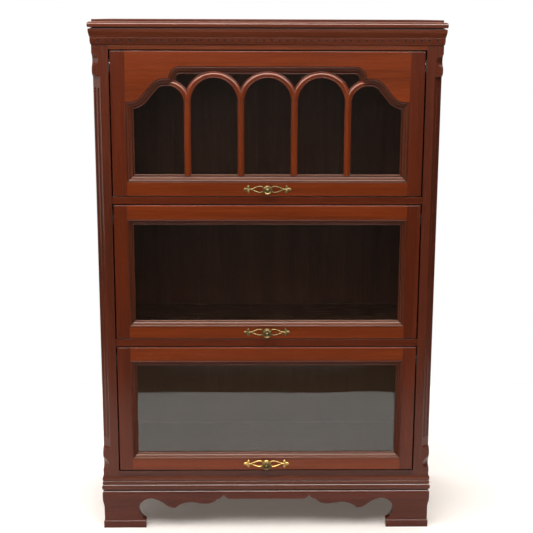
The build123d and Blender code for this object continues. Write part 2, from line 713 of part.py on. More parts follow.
with BuildPart() as glazing_bars:
    with BuildSketch(facing_front(GLASS_FRONT)):
        add(fret_outline())
    extrude(amount=GLASS_DEPTH - FRET_SETBACK)
save(glazing_bars, "door_top_glazing_bars")


# ---------------------------------------------------------------- pulls
PLATE_HALF = 61.5
SPINDLE_RADIUS = 2.5
NUT_RADIUS = 6
NUT_THICKNESS = 3
KNOB_TIP = -200
KNOB_RADIUS = 11.5
DOME_HALF = 5             # the small dome on the knob's face: half its width, and its height
DOME_RISE = 2


def pull_plate(door):
    """A pierced backplate: a boss, a teardrop loop each side and a trefoil at each tip."""
    height = door.bottom + PULL_ABOVE_DOOR_EDGE
    with BuildPart() as piece:
        with BuildSketch(Plane.XZ.offset(-DOOR_FACE) * Location((0, height, 0))):
            for side in (-1, 1):
                with BuildSketch(mode=Mode.PRIVATE) as loop:
                    with Locations((side * 16, 0)):
                        Circle(9.5)
                    with Locations((side * 46, 0)):
                        Circle(2.6)
                    make_hull()
                with BuildSketch(mode=Mode.PRIVATE) as hole:
                    with Locations((side * 17.5, 0)):
                        Circle(6)
                    with Locations((side * 38, 0)):
                        Circle(0.8)
                    make_hull()
                add(loop.sketch)
                add(hole.sketch, mode=Mode.SUBTRACT)
                with Locations((side * 50, 5.5), (side * 50, -5.5), (side * (PLATE_HALF - 3.5), 0)):
                    Circle(3.5)
                with Locations((side * 51, 0)):
                    Circle(5)
            Circle(10)
            Circle(SPINDLE_RADIUS, mode=Mode.SUBTRACT)
        extrude(amount=PLATE_THICKNESS)
    return piece


def pull_knob(door):
    """A turned knob with its spindle and the round nut that holds it behind the rail."""
    height = door.bottom + PULL_ABOVE_DOOR_EDGE
    nut_back = DOOR_BACK + NUT_THICKNESS
    rose = DOOR_FACE - PLATE_THICKNESS
    shoulder = KNOB_TIP + DOME_RISE
    dome_radius = (DOME_HALF ** 2 + DOME_RISE ** 2) / (2 * DOME_RISE)
    dome_turn = degrees(asin(DOME_HALF / dome_radius))
    turned = (
        # depth, radius
        (nut_back, 0), (nut_back, NUT_RADIUS), (DOOR_BACK, NUT_RADIUS), (DOOR_BACK, SPINDLE_RADIUS),
        (rose, SPINDLE_RADIUS), (rose, 8), (rose - 2, 8), (rose - 4, 5), (rose - 7, 5),
        (rose - 11, KNOB_RADIUS), (rose - 14, KNOB_RADIUS), (shoulder, 9), (shoulder, DOME_HALF),
    )
    with BuildPart() as piece:
        with BuildSketch(Plane.YZ):
            with BuildLine():
                Polyline([(depth, height + radius) for depth, radius in turned])
                CenterArc((KNOB_TIP + dome_radius, height), dome_radius, 180 - dome_turn, dome_turn)
                Line((KNOB_TIP, height), (nut_back, height))
            make_face()
        revolve(axis=Axis((0, 0, height), (0, 1, 0)))
    return piece


# ---------------------------------------------------------------- pivots and glides
GLIDE_INNER = DOOR_HALF + 1.5
GLIDE_OUTER = OPENING_HALF + SLOT_DEPTH - 0.2
GLIDE_BELOW = 20
GLIDE_ABOVE = 8
LUG_INNER = 374
LUG_HEIGHT = 6
LUG_CLEARANCE = 0.3
PIN_END = GLIDE_OUTER - 2


def pivot_pins(door):
    """The two pins pressed into the stiles' edges, near the top of the door."""
    start = DOOR_HALF - PIN_IN_STILE
    with BuildPart() as piece:
        for side in (-1, 1):
            with Locations((side * (start + PIN_END) / 2, PIVOT_Y, door.pivot)):
                Cylinder(PIN_RADIUS, PIN_END - start, rotation=(0, 90, 0))
    return piece


def glides(door):
    """Two nylon blocks that carry the pins and run in the grooves.

    Each has a lug behind the door's rear face, which stops the closed door upright.
    """
    with BuildPart() as piece:
        for side in (-1, 1):
            block((side * GLIDE_INNER, side * GLIDE_OUTER), (GLIDE_FRONT, GLIDE_BACK),
                  (door.pivot - GLIDE_BELOW, door.pivot + GLIDE_ABOVE))
            block((side * LUG_INNER, side * GLIDE_INNER), (DOOR_BACK + LUG_CLEARANCE, GLIDE_BACK),
                  (door.pivot - GLIDE_BELOW, door.pivot - GLIDE_BELOW + LUG_HEIGHT))
            with Locations((side * (GLIDE_INNER + GLIDE_OUTER) / 2, PIVOT_Y, door.pivot)):
                Cylinder(PIN_BORE_RADIUS, GLIDE_OUTER - GLIDE_INNER, rotation=(0, 90, 0), mode=Mode.SUBTRACT)
    return piece


for door in DOORS:
    prefix = f"door_{door.name}"
    save(stile(door, -1), f"{prefix}_stile_left")
    save(stile(door, 1), f"{prefix}_stile_right")
    save(door_rail(door, True), f"{prefix}_rail_top")
    save(door_rail(door, False), f"{prefix}_rail_bottom")
    save(sticking(door), f"{prefix}_sticking")
    save(glass(door), f"{prefix}_glass")
    save(glazing_beads(door), f"{prefix}_glazing_beads")
    save(pull_plate(door), f"{prefix}_pull_plate")
    save(pull_knob(door), f"{prefix}_pull_knob")
    save(pivot_pins(door), f"{prefix}_pivot_pins")
    save(glides(door), f"glides_{door.name}")
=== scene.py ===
"""The looks of a barrister bookcase: mahogany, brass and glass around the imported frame.

X runs across the case, the doors face -Y and Z is up. Lengths are in metres. MM turns the
sizes of small mouldings, which are given in millimetres, into metres.
"""
from math import asin, ceil, cos, hypot, pi, radians, sin

import bmesh
import bpy
from mathutils import Matrix, Vector


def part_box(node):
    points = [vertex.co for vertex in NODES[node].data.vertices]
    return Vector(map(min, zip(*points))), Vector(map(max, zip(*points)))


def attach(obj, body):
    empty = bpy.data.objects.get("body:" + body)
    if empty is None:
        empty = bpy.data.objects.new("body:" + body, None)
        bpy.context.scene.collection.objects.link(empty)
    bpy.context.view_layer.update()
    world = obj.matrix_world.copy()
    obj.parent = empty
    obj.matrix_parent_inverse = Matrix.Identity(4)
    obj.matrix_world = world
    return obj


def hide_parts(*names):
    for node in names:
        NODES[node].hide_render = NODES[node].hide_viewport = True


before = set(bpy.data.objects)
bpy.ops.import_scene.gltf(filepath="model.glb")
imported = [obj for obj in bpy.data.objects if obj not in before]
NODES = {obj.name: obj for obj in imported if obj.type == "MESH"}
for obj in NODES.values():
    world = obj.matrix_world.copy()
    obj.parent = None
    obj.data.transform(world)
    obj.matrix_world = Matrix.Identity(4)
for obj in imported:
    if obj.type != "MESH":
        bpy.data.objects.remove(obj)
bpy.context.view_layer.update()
MM = 0.001
DOORS = ("bottom", "middle", "top")
BRIGHT_PULL_DOOR = "bottom"    # the lowest plate is brighter brass than the other two


# ---------------------------------------------------------------- node helpers
class Nodes:
    """A node tree, and short ways to add to it."""

    def __init__(self, tree):
        self.tree = tree

    def node(self, kind, inputs=None, **settings):
        made = self.tree.nodes.new("ShaderNode" + kind)
        for key, value in settings.items():
            setattr(made, key, value)
        self.feed(made, inputs or {})
        return made

    def feed(self, target, inputs):
        for key, value in inputs.items():
            if isinstance(value, bpy.types.NodeSocket):
                self.tree.links.new(value, target.inputs[key])
            else:
                target.inputs[key].default_value = value

    def maths(self, operation, a, b=0.0, clamp=False):
        made = self.node("Math", {0: a, 1: b}, operation=operation, use_clamp=clamp)
        return made.outputs[0]

    def between(self, value, low, high, to_low=0.0, to_high=1.0):
        """value, mapped from low..high to to_low..to_high and held there."""
        made = self.node("MapRange", {"Value": value, "From Min": low, "From Max": high,
                                      "To Min": to_low, "To Max": to_high})
        return made.outputs["Result"]

    def noise(self, scale, offset=(0, 0, 0), detail=3.0, roughness=0.5, distortion=0.0):
        """Noise in the object's own coordinates, with its own scale on each axis."""
        coords = self.node("TexCoord").outputs["Object"]
        mapping = self.node("Mapping", {"Vector": coords, "Location": offset, "Scale": scale})
        made = self.node("TexNoise", {"Vector": mapping.outputs[0], "Scale": 1.0,
                                      "Detail": detail, "Roughness": roughness,
                                      "Distortion": distortion})
        return made.outputs["Fac"]

    def ramp(self, value, stops):
        made = self.node("ValToRGB", {"Fac": value})
        elements = made.color_ramp.elements
        while len(elements) < len(stops):
            elements.new(0.5)
        for element, (place, colour) in zip(elements, stops):
            element.position = place
            element.color = (*colour, 1)
        return made.outputs["Color"]

    def mix(self, factor, a, b):
        """Colour a where the factor is 0 and colour b where it is 1."""
        made = self.node("Mix", data_type="RGBA")
        colours = [s for s in made.inputs if s.type == "RGBA"]
        for socket, value in ((made.inputs[0], factor), (colours[0], a), (colours[1], b)):
            if isinstance(value, bpy.types.NodeSocket):
                self.tree.links.new(value, socket)
            else:
                socket.default_value = (*value, 1)
        return next(s for s in made.outputs if s.type == "RGBA")

    def bump(self, height, distance, strength, normal):
        made = self.node("Bump", {"Height": height, "Distance": distance,
                                  "Strength": strength, "Normal": normal})
        return made.outputs["Normal"]

    def rounded(self, radius):
        """The normal, as if every edge had that radius."""
        return self.node("Bevel", {"Radius": radius}, samples=4).outputs["Normal"]

    def openness(self, reach):
        """1 on open surfaces, falling in hollows that are narrower than reach."""
        return self.node("AmbientOcclusion", {"Distance": reach}, samples=4).outputs["AO"]

    def flat(self):
        return self.node("NewGeometry").outputs["Normal"]


class Material(Nodes):
    """A node material: one Principled shader and the nodes that feed it."""

    def __init__(self, name):
        self.data = bpy.data.materials.new(name)
        self.data.use_nodes = True
        super().__init__(self.data.node_tree)
        self.shader = self.tree.nodes["Principled BSDF"]


def shade(colour, factor):
    return tuple(channel * factor for channel in colour)


def seed_of(name):
    """A number of its own for each piece, so that no two boards share a grain."""
    return sum((i + 3) * ord(letter) for i, letter in enumerate(name)) % 211 / 7


# ---------------------------------------------------------------- materials
# The grain's four noises: scale along the grain, scale across it.
FIGURE, BANDS, FIBRE, PORES = (1.8, 26), (3.5, 120), (14, 620), (70, 1900)
FIGURE_SHARE, BANDS_SHARE, FIBRE_SHARE = 0.5, 0.3, 0.2
GRAIN_SPREAD = 0.275           # the most that the grain darkens a board's own colour
GRAIN_STOPS = ((0.36, -1), (0.47, -0.3), (0.55, 0.25), (0.66, 0.75))   # noise, share of spread
PORE_SHADE, PORE_STRENGTH = 0.25, 0.55
WORN_SHADE, WORN_STRENGTH = 1.7, 0.4
# The darkening in the hollows: staining that collects there, and painted shade.
HOLLOW_STAIN_AND_SHADE_TONE, HOLLOW_STAIN_AND_SHADE_STRENGTH = 0.12, 0.85
FIBRE_RELIEF = 0.00012


def wood(name, axis, colour, gloss=0.22, coat=0.04, softness=0.0011, reach=0.007,
         stain_and_shade_range=(0.8, 0.35), shine=0.23):
    """Polished mahogany with its grain along an axis, darker in the quirks for staining that
    collects there and for painted shade, and lighter wear on the arrises.

    gloss is the roughness, softness the radius of the arrises and reach the width of a
    quirk that is darkened. stained is the openness where the staining and painted shade
    start and where they are full.
    """
    m = Material("wood_" + name)
    seed = seed_of(name)

    def streaks(scales, **options):
        along, across = scales
        scale = [across] * 3
        scale["xyz".index(axis)] = along
        return m.noise(scale, (seed, 1.7 * seed, -0.6 * seed), **options)

    figure = streaks(FIGURE, detail=3, distortion=0.9)
    bands = streaks(BANDS, detail=3, roughness=0.6, distortion=0.3)
    fibre = streaks(FIBRE, detail=3, roughness=0.65)
    pores = streaks(PORES, detail=1, roughness=0.5)
    grain = m.maths("ADD", m.maths("MULTIPLY", figure, FIGURE_SHARE),
                    m.maths("MULTIPLY", bands, BANDS_SHARE))
    grain = m.maths("ADD", grain, m.maths("MULTIPLY", fibre, FIBRE_SHARE))
    base = m.ramp(grain, [(place, shade(colour, 1 + share * GRAIN_SPREAD))
                          for place, share in GRAIN_STOPS])
    pore_mask = m.between(pores, 0.34, 0.27)
    base = m.mix(m.maths("MULTIPLY", pore_mask, PORE_STRENGTH), base, shade(colour, PORE_SHADE))

    # Wear shows where the rounded normal leaves the flat one, which is along the arrises.
    rounded = m.rounded(softness)
    facing = m.node("VectorMath", {0: rounded, 1: m.flat()}, operation="DOT_PRODUCT")
    worn = m.maths("MULTIPLY", m.between(facing.outputs["Value"], 0.995, 0.9),
                   m.between(bands, 0.4, 0.62))
    base = m.mix(m.maths("MULTIPLY", worn, WORN_STRENGTH), base, shade(colour, WORN_SHADE))
    # Darker in the hollows: partly staining that collects in the quirks, partly painted shade in
    # the quirks and gaps.
    stain_and_shade = m.between(m.openness(reach), *stain_and_shade_range)
    base = m.mix(m.maths("MULTIPLY", stain_and_shade, HOLLOW_STAIN_AND_SHADE_STRENGTH), base, shade(colour, HOLLOW_STAIN_AND_SHADE_TONE))

    rough = m.maths("ADD", m.between(fibre, 0.3, 0.7, gloss - 0.05, gloss + 0.07),
                    m.maths("MULTIPLY", stain_and_shade, 0.2))
    relief = m.maths("SUBTRACT", m.maths("MULTIPLY", fibre, 0.5), pore_mask)
    m.feed(m.shader, {"Base Color": base, "Roughness": rough, "Coat Weight": coat,
                      "Coat Roughness": 0.14, "IOR": 1.5, "Specular IOR Level": shine,
                      "Normal": m.bump(relief, FIBRE_RELIEF, 0.35, rounded)})
    return m.data


def brass(name, bright, dull, polish):
    """Cast brass: bright where it is rubbed, brown in its hollows. polish is its roughness."""
    m = Material("brass_" + name)
    seed = seed_of(name)
    cloud = m.noise((120, 120, 120), (seed, 0, 0), detail=4, roughness=0.6)
    grit = m.noise((900, 900, 900), (0, seed, 0), detail=2)
    tarnish = m.maths("ADD", m.between(m.openness(0.003), 0.9, 0.45),
                      m.between(cloud, 0.42, 0.66, 0, 0.7), clamp=True)
    m.feed(m.shader, {"Base Color": m.mix(tarnish, bright, dull), "Metallic": 1.0,
                      "Roughness": m.between(tarnish, 0, 1, polish, polish + 0.25),
                      "Normal": m.bump(grit, 0.00006, 0.5, m.rounded(0.0004))})
    return m.data


def clear_glass(name):
    """Float glass, with the faint film and slow waves of a real pane."""
    m = Material("glass_" + name)
    film = m.noise((9, 9, 14), (seed_of(name), 0, 0), detail=4, roughness=0.6)
    wave = m.noise((5, 5, 7), (0, seed_of(name), 0), detail=1)
    m.feed(m.shader, {"Base Color": (0.93, 0.97, 0.95, 1), "Transmission Weight": 1.0,
                      "IOR": 1.5, "Roughness": m.between(film, 0.35, 0.75, 0.0, 0.045),
                      "Normal": m.bump(wave, 0.002, 0.12, m.flat())})
    return m.data


def plain(name, colour, roughness, metallic, grain_scale):
    """A moulded or turned part with a fine mottled surface."""
    m = Material(name)
    mottle = m.noise((grain_scale,) * 3, detail=4, roughness=0.6)
    base = m.ramp(mottle, ((0.3, shade(colour, 0.75)), (0.7, shade(colour, 1.2))))
    m.feed(m.shader, {"Base Color": base, "Metallic": metallic,
                      "Roughness": m.between(mottle, 0.3, 0.7, roughness - 0.06, roughness + 0.08),
                      "Normal": m.bump(mottle, 0.0001, 0.4, m.flat())})
    return m.data


# Linear colours of the stained wood in different places.
RAIL = (0.165, 0.029, 0.0055)
STILE = (0.098, 0.017, 0.005)
POST = (0.090, 0.020, 0.009)
RAIL_OVER_DOORS = (0.145, 0.033, 0.010)
RAIL_UNDER_DOORS = (0.065, 0.016, 0.008)
# The sticking's three members are one wood with painted light: the head, which faces down, is
# darker as painted shade, and the sill, which faces up, is lighter and pinker as painted light.
STICKING_HEAD_PAINTED_SHADE = (0.074, 0.020, 0.010)
STICKING_UPRIGHT = (0.086, 0.023, 0.011)
STICKING_SILL_PAINTED_LIGHT = (0.165, 0.062, 0.036)
CORNICE = (0.098, 0.021, 0.0075)
TOP_BOARD = (0.120, 0.025, 0.009)
BASE_MOULDING = (0.105, 0.027, 0.013)
BASE = (0.080, 0.014, 0.005)
INSIDE = (0.038, 0.016, 0.009)
# Bright and tarnished colour.
DARK_BRASS = ((0.125, 0.095, 0.040), (0.032, 0.024, 0.012))
BRIGHT_BRASS = ((0.40, 0.27, 0.085), (0.11, 0.07, 0.025))

# Finishes that differ from the broad boards'.
CRISP = {"softness": 0.0004}
MOULDED = {"softness": 0.0004, "gloss": 0.27, "shine": 0.10, "coat": 0.0}
SILL = {**MOULDED, "shine": 0.20}
# The dentils' gaps are darkened harder, as painted shade, so that they read as shadowed holes.
DENTIL = {"softness": 0.0002, "reach": 0.009, "stain_and_shade_range": (0.92, 0.55), "shine": 0.12,
          "coat": 0.0}

CASE_WOOD = {
    # node: grain axis, colour, finish
    "post_left": ("z", POST, CRISP),
    "post_right": ("z", POST, CRISP),
    "side_panel_left": ("z", STILE, {}),
    "side_panel_right": ("z", STILE, {}),
    "back_panel": ("z", INSIDE, {}),
    "top_panel": ("x", INSIDE, {}),
    "shelf_upper": ("x", INSIDE, {}),
    "shelf_lower": ("x", INSIDE, {}),
    "bottom_panel": ("x", INSIDE, {}),
    "rail_top": ("x", RAIL_OVER_DOORS, {}),
    "rail_upper": ("x", STILE, {}),
    "rail_lower": ("x", STILE, {}),
    "rail_bottom": ("x", RAIL_UNDER_DOORS, {}),
    "cornice_front": ("x", CORNICE, CRISP),
    "cornice_returns": ("y", CORNICE, CRISP),
    "dentil_front": ("x", CORNICE, DENTIL),
    "dentil_returns": ("y", CORNICE, DENTIL),
    "top_board": ("x", TOP_BOARD, {}),
    "base_moulding_front": ("x", BASE_MOULDING, CRISP),
    "base_moulding_returns": ("y", BASE_MOULDING, CRISP),
    "base_front": ("x", BASE, {}),
    "base_left": ("y", BASE, {}),
    "base_right": ("y", BASE, {}),
    "base_back": ("x", INSIDE, {}),
    "base_corner_blocks": ("z", INSIDE, {}),
    "door_guides": ("y", INSIDE, {}),
}


def dress(node, material):
    """Gives a CAD node its finished material."""
    for place in NODES[node].material_slots:
        place.material = material


for node, (axis, colour, finish) in CASE_WOOD.items():
    dress(node, wood(node, axis, colour, **finish))

nylon = plain("nylon", (0.05, 0.042, 0.038), roughness=0.45, metallic=0.0, grain_scale=700)
steel = plain("steel", (0.55, 0.54, 0.52), roughness=0.35, metallic=1.0, grain_scale=900)
for door in DOORS:
    prefix = f"door_{door}_"
    for part in ("stile_left", "stile_right"):
        dress(prefix + part, wood(prefix + part, "z", STILE))
    for part in ("rail_top", "rail_bottom"):
        dress(prefix + part, wood(prefix + part, "x", RAIL))
    dress(prefix + "glazing_beads", wood(prefix + "glazing_beads", "x", INSIDE))
    dress(prefix + "glass", clear_glass(door))
    dress(prefix + "pivot_pins", steel)
    dress("glides_" + door, nylon)


# ---------------------------------------------------------------- mesh helpers
COINCIDENT = 1e-6


def weld(mesh):
    """Joins coincident points, drops the faces that vanish and turns the rest outwards."""
    form = bmesh.new()
    form.from_mesh(mesh)
    bmesh.ops.remove_doubles(form, verts=form.verts, dist=COINCIDENT)
    bmesh.ops.dissolve_degenerate(form, edges=form.edges, dist=COINCIDENT)
    bmesh.ops.recalc_face_normals(form, faces=form.faces)
    form.to_mesh(mesh)
    form.free()


def finish_piece(name, points, faces, materials, body, node, sharp=28, indices=None):
    """Makes one piece from points and faces, gives it its material slots, ties it to its body and
    hides its CAD node.

    Edges that turn more than sharp degrees stay sharp. indices is each face's material.
    """
    mesh = bpy.data.meshes.new(name)
    mesh.from_pydata([tuple(p) for p in points], [], faces)
    for material in materials:
        mesh.materials.append(material)
    if indices:
        mesh.polygons.foreach_set("material_index", indices)
    piece = bpy.data.objects.new(name, mesh)
    bpy.context.scene.collection.objects.link(piece)
    weld(mesh)
    mesh.polygons.foreach_set("use_smooth", [True] * len(mesh.polygons))
    mesh.set_sharp_from_angle(angle=radians(sharp))
    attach(piece, body)
    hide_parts(node)
    return piece


def tube_faces(rings, count, closed_path):
    """Faces between closed rings of points: count points in each ring."""
    faces = []
    for i in range(rings if closed_path else rings - 1):
        following = (i + 1) % rings
        for j in range(count):
            beside = (j + 1) % count
            faces.append((i * count + j, i * count + beside,
                          following * count + beside, following * count + j))
    return faces


def arc(centre, radius, start, end, steps):
    """Points on an arc, with its angles in degrees."""
    turns = [radians(start + (end - start) * i / steps) for i in range(steps + 1)]
    return [(centre[0] + radius * cos(t), centre[1] + radius * sin(t)) for t in turns]


# ---------------------------------------------------------------- the doors' frames, from the CAD
class Frame:
    """Where a door's face is, and the rectangle inside its stiles and rails, in millimetres."""

    def __init__(self, door):
        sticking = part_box(f"door_{door}_sticking")
        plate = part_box(f"door_{door}_pull_plate")
        self.name = door
        self.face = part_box(f"door_{door}_stile_left")[0].y / MM
        self.left, self.right = sticking[0].x / MM, sticking[1].x / MM
        self.low, self.high = sticking[0].z / MM, sticking[1].z / MM
        self.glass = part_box(f"door_{door}_glass")[0].y / MM - self.face    # behind the face
        self.pull = (plate[0].z + plate[1].z) / 2 / MM


FRAMES = {door: Frame(door) for door in DOORS}
TOP = FRAMES["top"]

# The top door's arch, in millimetres. Its X runs out from the door's middle. From each side
# a hollow curve of the lower radius rises from the foot into a slope, given in degrees. A
# shoulder of the upper radius follows, and a quarter circle steps up to the crown.
SHOULDER_Z = TOP.high - 29.5
ARCH_FOOT_Z = TOP.high - 86
ARCH_FOOT_X = 337
LOWER_RADIUS = 33
UPPER_RADIUS = 42
SLOPE = 50
CROWN_X = 214
CROWN_RADIUS = 29
ARC_STEPS = 12


def lower_outline(door):
    """A function of the inset: the corners of a lower door's opening."""
    def corners(inset):
        x0, x1 = door.left + inset, door.right - inset
        z0, z1 = door.low + inset, door.high - inset
        return [(x0, z0), (x1, z0), (x1, z1), (x0, z1)]
    return corners


def arch_outline(inset):
    """The top door's opening, drawn in by inset: always the same number of points."""
    slope = radians(SLOPE)
    radii = LOWER_RADIUS + UPPER_RADIUS
    straight = (SHOULDER_Z - ARCH_FOOT_Z - radii * (1 - cos(slope))) / sin(slope)
    shoulder_x = ARCH_FOOT_X - radii * sin(slope) - straight * cos(slope)
    side = TOP.right - inset
    passed = max(0.0, ARCH_FOOT_X - side)
    skipped = asin(passed / (LOWER_RADIUS + inset)) * 180 / pi
    crown = CROWN_RADIUS - inset
    low = arc((ARCH_FOOT_X, ARCH_FOOT_Z + LOWER_RADIUS), LOWER_RADIUS + inset,
              270 - skipped, 270 - SLOPE, ARC_STEPS)
    high = arc((shoulder_x, SHOULDER_Z - UPPER_RADIUS), UPPER_RADIUS - inset,
               90 - SLOPE, 90, ARC_STEPS)
    corner = low[0] if passed else (side, ARCH_FOOT_Z - inset)
    right = [(side, TOP.low + inset), corner, *low, *high,
             (CROWN_X + crown, SHOULDER_Z - inset),
             *arc((CROWN_X, TOP.high - CROWN_RADIUS), crown, 0, 90, ARC_STEPS)]
    return right + [(-x, z) for x, z in reversed(right)]


# ---------------------------------------------------------------- the mouldings round the glass
def lower_profile(glass):
    """Across a lower door's sticking: how far in from the frame, and how far behind its face.

    A bead at the frame, a fillet, a hollow, a quirk and a bead against the glass.
    """
    return [(0, glass), (0, 0.4), *arc((2.4, 0.7), 2.4, 188, 350, 10),
            (5.1, 2.0), (5.5, 1.3), (6.6, 1.3), (7.0, 2.4), (7.9, 3.7), (9.1, 4.7), (10.4, 5.3),
            (10.5, 6.1), (11.2, 6.1), *arc((13.1, 7.3), 1.9, 200, 350, 8), (15, glass)]


def arch_profile(glass):
    """The same across the top door's sticking: a fillet, an ovolo, a groove, a hollow, a
    quirk and a bead."""
    return [(0, glass), (0, 0.4), (0.8, 0.4),
            (1.0, 1.9), (1.8, 1.9), (2.1, 1.1), (3.2, 0.8), (4.6, 1.0), (6.0, 1.7), (7.2, 2.9),
            (7.7, 3.8), (8.2, 3.2), (9.7, 3.2), (10.1, 4.6), (11.2, 5.6), (12.6, 6.2),
            (14.1, 6.4), (14.3, 8.2), (15.3, 8.2), *arc((17.1, 8.0), 1.8, 200, 350, 8),
            (19, glass)]


def sticking(door, outline, profile, upright_runs, sill_run):
    """The moulding mitred round a door's glass: head in painted shade, uprights, sill in painted
    light.

    A run is the stretch from a point of the outline to the next.
    """
    rings = [outline(inset) for inset, _ in profile]
    points = [Vector((x, door.face + depth, z)) * MM
              for ring, (_, depth) in zip(rings, profile) for x, z in ring]
    count = len(rings[0])
    faces = tube_faces(len(rings), count, True)
    runs = [face[0] % count for face in faces]
    members = [1 if run in upright_runs else 2 if run == sill_run else 0 for run in runs]
    name = f"sticking_{door.name}"
    # One wood in three copies: the head's darkened as painted shade, the sill's lightened as
    # painted light.
    woods = [wood(name + "_head", "x", STICKING_HEAD_PAINTED_SHADE, **MOULDED),
             wood(name + "_upright", "z", STICKING_UPRIGHT, **MOULDED),
             wood(name + "_sill", "x", STICKING_SILL_PAINTED_LIGHT, **SILL)]
    return finish_piece(name, points, faces, woods, f"door_{door.name}",
                        f"door_{door.name}_sticking", indices=members)


for door in (FRAMES["bottom"], FRAMES["middle"]):
    sticking(door, lower_outline(door), lower_profile(door.glass), {1, 3}, 0)
arch_count = len(arch_outline(0))
sticking(TOP, arch_outline, arch_profile(TOP.glass), {0, arch_count - 2}, arch_count - 1)


# ---------------------------------------------------------------- the top door's fretwork
BAY = 132                      # between the upright bars
BAR = 16                       # width of a bar
SPRING_Z = TOP.high - 85.5
END_ARCH_X = 247.5
END_SPRING_Z = SPRING_Z - 3
BAR_FRONT = 1.4                # a bar's crest, behind the door's face
BEAD_HALF = 5.7
BEAD_FOOT = 5.0                # the bead's edges, behind the door's face
DEGREES_PER_STEP = 4
NARROWED = 0.6                 # share of its width that a buried end keeps
BURIED_DEPTH = 5.0


def bar_section(glass):
    """Half-round bead between two fillets: (across, depth) from one back edge to the other."""
    half, fillet = BAR / 2, 4.0
    crest = [(BEAD_HALF * cos(t), BEAD_FOOT - (BEAD_FOOT - BAR_FRONT) * sin(t))
             for t in (radians(12 * i) for i in range(16))]
    return [(half, glass), (half, fillet + 0.3), (half - 0.3, fillet), (BEAD_HALF + 0.5, fillet),
            *crest,
            (-BEAD_HALF - 0.5, fillet), (0.3 - half, fillet), (-half, fillet + 0.3),
            (-half, glass)]


def fretwork():
    """Upright bars that branch into three round arches, with a half arch at each end."""
    points, faces = [], []
    section = bar_section(TOP.glass)
    count = len(section)

    def strand(rings):
        """A bar through rings of (x, depth, z), closed at both ends."""
        start = len(points)
        for ring in rings:
            points.extend(Vector((x, TOP.face + depth, z)) * MM for x, depth, z in ring)
        faces.extend(tuple(start + i for i in face)
                     for face in tube_faces(len(rings), count, False))
        faces.append(tuple(range(start + count - 1, start - 1, -1)))
        faces.append(tuple(range(start + (len(rings) - 1) * count, start + len(rings) * count)))

    def arch(x, z, radius, first, last, buried=0.0):
        """An arc of bar. Its first end tapers into the sticking over buried degrees."""
        steps = ceil(abs(last - first) / DEGREES_PER_STEP)
        rings = []
        for i in range(steps + 1):
            turned = abs(last - first) * i / steps
            risen = min(1.0, turned / buried) if buried else 1.0
            share = NARROWED + (1 - NARROWED) * risen
            sink = BURIED_DEPTH * (1 - risen) ** 2
            t = radians(first + (last - first) * i / steps)
            rings.append([(x + (radius + across * share) * cos(t), min(depth + sink, TOP.glass),
                           z + (radius + across * share) * sin(t)) for across, depth in section])
        strand(rings)

    for bay in (-1, 0, 1):
        arch(bay * BAY, SPRING_Z, BAY / 2, 0, 180)
    end_radius = END_ARCH_X - 1.5 * BAY
    arch(END_ARCH_X, END_SPRING_Z, end_radius, 94, 180, buried=20)
    arch(-END_ARCH_X, END_SPRING_Z, end_radius, 86, 0, buried=20)
    foot = TOP.low + 13
    stations = (
        # height, share of the width, how far it sinks back
        (foot, 0.5, 6.2), (foot + 0.6, 0.68, 4.2), (foot + 2.2, 0.86, 2.0),
        (foot + 5, 0.96, 0.6), (foot + 9, 1, 0),
        (SPRING_Z - 8, 1, 0), (SPRING_Z + 4, 1, 0.2), (SPRING_Z + 14, 0.97, 1.0),
        (SPRING_Z + 22, 0.9, 2.4), (SPRING_Z + 28, 0.8, 4.4),
    )
    for place in (-1.5, -0.5, 0.5, 1.5):
        strand([[(place * BAY + across * share, min(depth + sink, TOP.glass), z)
                 for across, depth in section] for z, share, sink in stations])
    name = "glazing_bars"
    return finish_piece(name, points, faces, [wood(name, "z", RAIL)], "door_top",
                        "door_top_glazing_bars")


fretwork()


# ---------------------------------------------------------------- the pulls
# A backplate is a round boss, and on each side a loop of strap, a stem and a leafy tip. Its
# sizes are in millimetres from the middle of the plate, for the quarter where both are positive.
PLATE_HALF = 60.5              # half the plate's length
PLATE_RISE = 11                # half its height, with a little room
CELL = 0.55                    # the plate's mesh size
BOSS_RADIUS = 9.8
BOSS_WAVE = 0.35               # height of the boss's eight shallow lobes
LOOP_START, LOOP_LENGTH, LOOP_RISE, LOOP_STEPS = 9, 30, 8.2, 14
LOOP_HALF_WIDTH = 1.35
STEM = [(38, 0), (54, 0)]
STEM_HALF_WIDTH = 1.8
COLLAR_X, COLLAR_RADIUS, COLLAR_SQUEEZE = 40, 3.0, 1.3
EDGE_THICKNESS, DOME, DOME_REACH = 0.55, 1.15, 2.2


def distance_to_path(x, z, path):
    """Distance to a line of straight stretches."""
    best = 1e9
    for (ax, az), (bx, bz) in zip(path, path[1:]):
        dx, dz = bx - ax, bz - az
        t = max(0.0, min(1.0, ((x - ax) * dx + (z - az) * dz) / (dx * dx + dz * dz)))
        best = min(best, hypot(x - ax - t * dx, z - az - t * dz))
    return best


def leaf_distance(x, z, start, end, width):
    """Distance to a pointed leaf between two points, less than 0 inside it."""
    dx, dz = end[0] - start[0], end[1] - start[1]
    length = hypot(dx, dz)
    along = ((x - start[0]) * dx + (z - start[1]) * dz) / length - length / 2
    across = abs((x - start[0]) * dz - (z - start[1]) * dx) / length
    offset = (length ** 2 / 4 - width ** 2 / 4) / width
    return hypot(along, across + offset) - (offset + width / 2)


def blend_min(a, b, reach):
    """The smaller distance, with the crease between the two shapes filled out."""
    h = max(reach - abs(a - b), 0.0) / reach
    return min(a, b) - h * h * reach / 4


def loop_path():
    """The middle of a strap that swells out from the boss and draws in to the stem."""
    path = []
    for i in range(LOOP_STEPS + 1):
        t = i / LOOP_STEPS
        rise = LOOP_RISE * sin(pi * t ** 0.62) * (1 - 0.25 * t) + t
        path.append((LOOP_START + LOOP_LENGTH * t, rise))
    return path


LOOP = loop_path()


